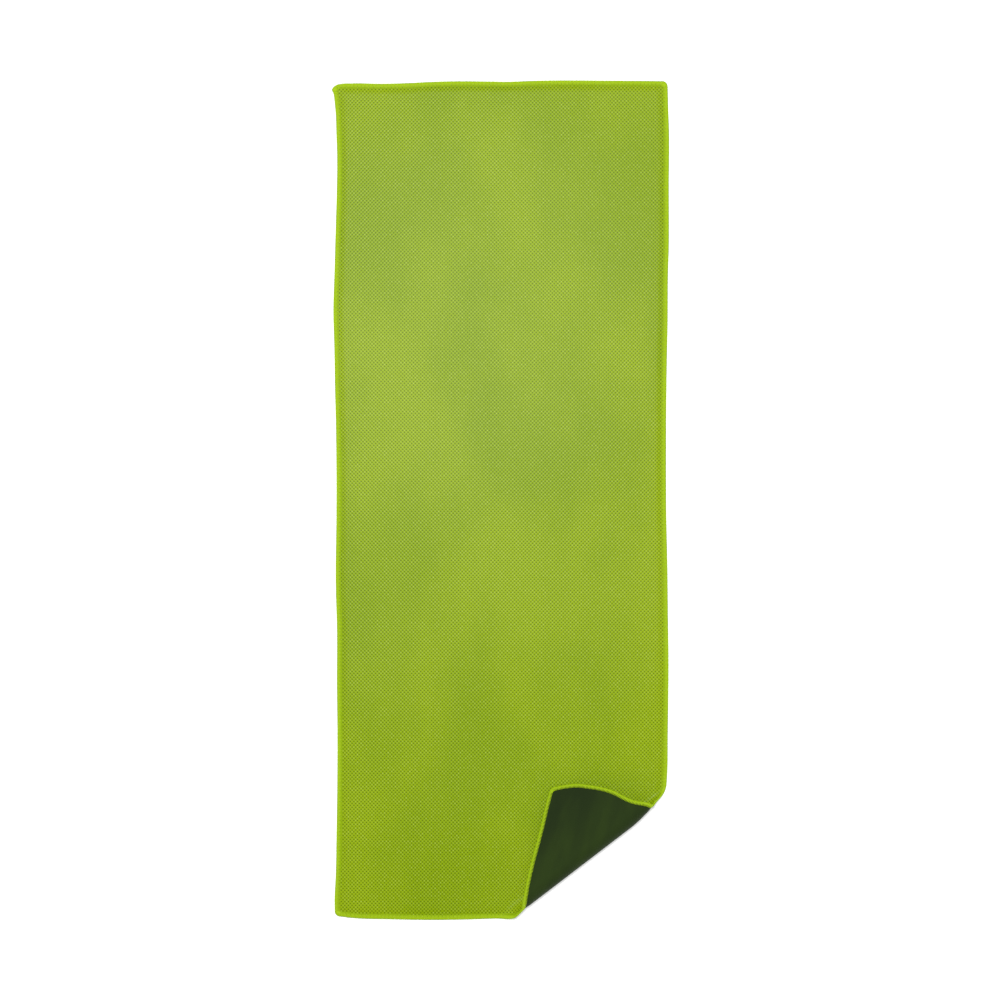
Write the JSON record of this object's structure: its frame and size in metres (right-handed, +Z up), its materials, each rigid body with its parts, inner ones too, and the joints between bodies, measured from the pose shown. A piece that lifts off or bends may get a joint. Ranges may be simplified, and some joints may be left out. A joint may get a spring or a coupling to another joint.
{
  "type": "quick dry towel",
  "caption": "Rectangular sports towel of lime mesh knit over a dark smooth backing, with an overlocked edge and one corner turned over, which unfolds flat.",
  "frame": {"origin": "under the middle of the towel, on the surface it lies on", "axes": "+Y along the length, +X across the width, +Z up out of the mesh face; the turned-over corner is at +X, -Y"},
  "size_m": [0.3212, 0.8004, 0.0224],
  "materials": {
    "face_mesh": "lime polyester mesh knit with staggered pinholes, matt",
    "back_knit": "dark green smooth brushed knit, matt",
    "edge_thread": "bulky lime polyester overlock thread, satin"
  },
  "bodies": {
    "towel": {"back_panel": "back_knit", "face_panel": "face_mesh", "upper_looper_top": "edge_thread", "upper_looper_bottom": "edge_thread", "upper_looper_left": "edge_thread", "upper_looper_right": "edge_thread", "lower_looper_top": "edge_thread", "lower_looper_bottom": "edge_thread", "lower_looper_left": "edge_thread", "lower_looper_right": "edge_thread", "needle_thread_top": "edge_thread", "needle_thread_bottom": "edge_thread", "needle_thread_left": "edge_thread", "needle_thread_right": "edge_thread", "thread_tail": "edge_thread"},
    "fold_1": {"back_panel_fold_1": "back_knit", "face_panel_fold_1": "face_mesh", "upper_looper_right_fold_1": "edge_thread", "upper_looper_bottom_fold_1": "edge_thread", "lower_looper_right_fold_1": "edge_thread", "lower_looper_bottom_fold_1": "edge_thread", "needle_thread_right_fold_1": "edge_thread", "needle_thread_bottom_fold_1": "edge_thread"},
    "fold_2": {"back_panel_fold_2": "back_knit", "face_panel_fold_2": "face_mesh", "upper_looper_right_fold_2": "edge_thread", "upper_looper_bottom_fold_2": "edge_thread", "lower_looper_right_fold_2": "edge_thread", "lower_looper_bottom_fold_2": "edge_thread", "needle_thread_right_fold_2": "edge_thread", "needle_thread_bottom_fold_2": "edge_thread"},
    "fold_3": {"back_panel_fold_3": "back_knit", "face_panel_fold_3": "face_mesh", "upper_looper_right_fold_3": "edge_thread", "upper_looper_bottom_fold_3": "edge_thread", "lower_looper_right_fold_3": "edge_thread", "lower_looper_bottom_fold_3": "edge_thread", "needle_thread_right_fold_3": "edge_thread", "needle_thread_bottom_fold_3": "edge_thread"},
    "fold_4": {"back_panel_fold_4": "back_knit", "face_panel_fold_4": "face_mesh", "upper_looper_right_fold_4": "edge_thread", "upper_looper_bottom_fold_4": "edge_thread", "lower_looper_right_fold_4": "edge_thread", "lower_looper_bottom_fold_4": "edge_thread", "needle_thread_right_fold_4": "edge_thread", "needle_thread_bottom_fold_4": "edge_thread"},
    "corner": {"back_panel_corner": "back_knit", "face_panel_corner": "face_mesh", "upper_looper_right_corner": "edge_thread", "upper_looper_bottom_corner": "edge_thread", "lower_looper_right_corner": "edge_thread", "lower_looper_bottom_corner": "edge_thread", "needle_thread_right_corner": "edge_thread", "needle_thread_bottom_corner": "edge_thread"}
  },
  "joints": [
    {"name": "crease_1", "type": "hinge", "parent": "towel", "child": "fold_1", "pos_m": [0.19126, -0.24979, 0.00115], "axis": [0.794, 0.6079, 0], "range_deg": [0, 38.7]},
    {"name": "crease_2", "type": "hinge", "parent": "fold_1", "child": "fold_2", "pos_m": [0.19453, -0.25406, 0.00546], "axis": [0.794, 0.6079, 0], "range_deg": [0, 38.7]},
    {"name": "crease_3", "type": "hinge", "parent": "fold_2", "child": "fold_3", "pos_m": [0.19544, -0.25526, 0.0122], "axis": [0.794, 0.6079, 0], "range_deg": [0, 38.7]},
    {"name": "crease_4", "type": "hinge", "parent": "fold_3", "child": "fold_4", "pos_m": [0.1936, -0.25285, 0.01839], "axis": [0.794, 0.6079, 0], "range_deg": [0, 38.7]},
    {"name": "crease_5", "type": "hinge", "parent": "fold_4", "child": "corner", "pos_m": [0.1898, -0.24789, 0.02133], "axis": [0.794, 0.6079, 0], "range_deg": [0, 38.7]}
  ],
  "couplings": [
    {"joint": "crease_2", "follows": "crease_1", "ratio": 1},
    {"joint": "crease_3", "follows": "crease_1", "ratio": 1},
    {"joint": "crease_4", "follows": "crease_1", "ratio": 1},
    {"joint": "crease_5", "follows": "crease_1", "ratio": 1}
  ]
}
